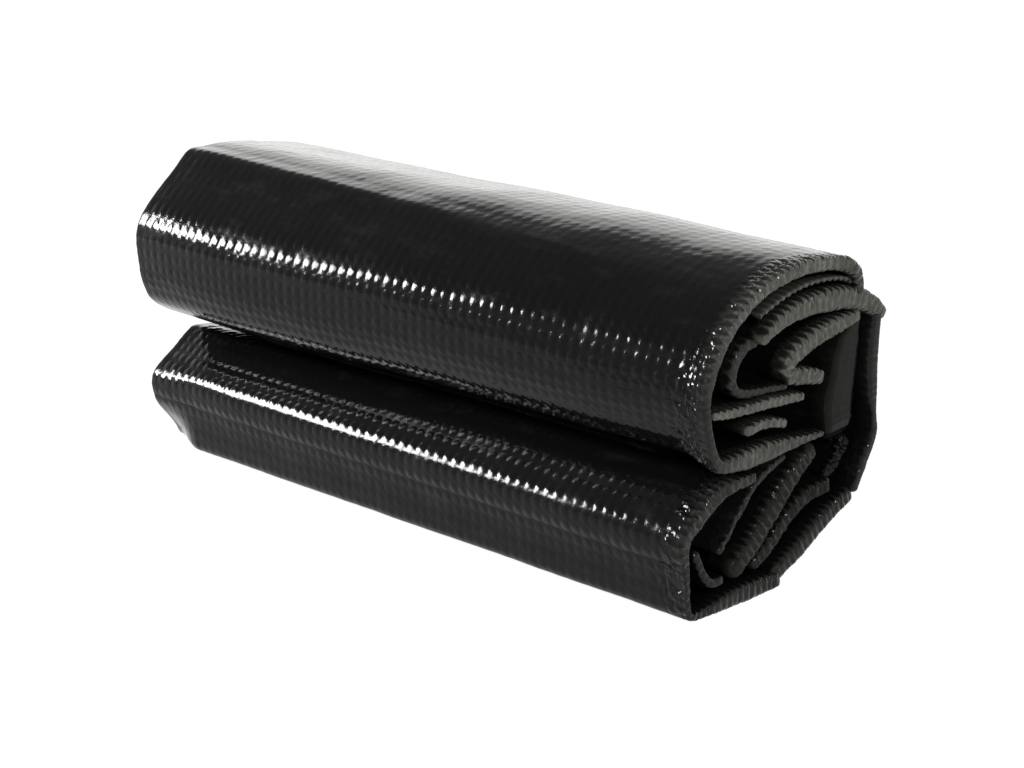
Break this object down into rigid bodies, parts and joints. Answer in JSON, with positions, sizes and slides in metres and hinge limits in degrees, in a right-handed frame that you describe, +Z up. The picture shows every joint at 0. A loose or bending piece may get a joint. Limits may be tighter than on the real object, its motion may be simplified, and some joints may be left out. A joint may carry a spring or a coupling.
{
  "type": "folded solar blanket",
  "caption": "Black bubble-film solar heating blanket for a hot tub or small pool, folded into a long two-lobed bundle whose upper lobe and outer wrap open on their fold lines.",
  "frame": {"origin": "middle of the footprint, on the surface that the bundle rests on", "axes": "+X along the folds and the bundle's length, -Y towards the open side between the two lobes, +Z up"},
  "size_m": [0.78, 0.2838, 0.3056],
  "materials": {
    "outer_film": "glossy black polyethylene film, embossed by rows of round bubbles",
    "tucked_film": "the same black film where it is folded away, creased into small triangular facets at the folds",
    "cut_edge_film": "cut edge of one ply of the black film, beaded by cut bubbles"
  },
  "bodies": {
    "lower_pack": {"lower_back_leaf": "outer_film", "back_tuck": "tucked_film", "rear_slope_leaf": "outer_film", "rear_slope_fold": "outer_film", "bottom_leaf": "outer_film", "nose_tuck": "cut_edge_film", "lower_front_leaf": "outer_film", "lower_top_leaf": "outer_film", "fan_thin_ply": "cut_edge_film", "fan_thick_leaf": "tucked_film", "fan_rear_leaf": "tucked_film"},
    "upper_pack": {"under_flap": "outer_film", "crown_leaf": "tucked_film", "upper_back_leaf": "outer_film", "inner_back_leaf": "tucked_film", "slant_leaf": "tucked_film", "slant_return": "tucked_film", "crown_return": "tucked_film", "upper_tongue": "cut_edge_film", "lower_tongue": "cut_edge_film"},
    "front_flap": {"front_flap": "outer_film"},
    "top_flap": {"top_flap": "outer_film", "top_flap_ply": "cut_edge_film"}
  },
  "joints": [
    {"name": "upper_lobe_fold", "type": "hinge", "parent": "lower_pack", "child": "upper_pack", "pos_m": [0, 0.139, 0.1265], "axis": [-1, 0, 0], "range_deg": [0, 140]},
    {"name": "front_flap_fold", "type": "hinge", "parent": "upper_pack", "child": "front_flap", "pos_m": [0, -0.093, 0.134], "axis": [1, 0, 0], "range_deg": [0, 75]},
    {"name": "top_flap_fold", "type": "hinge", "parent": "front_flap", "child": "top_flap", "pos_m": [0, -0.073, 0.268], "axis": [1, 0, 0], "range_deg": [0, 115]}
  ]
}
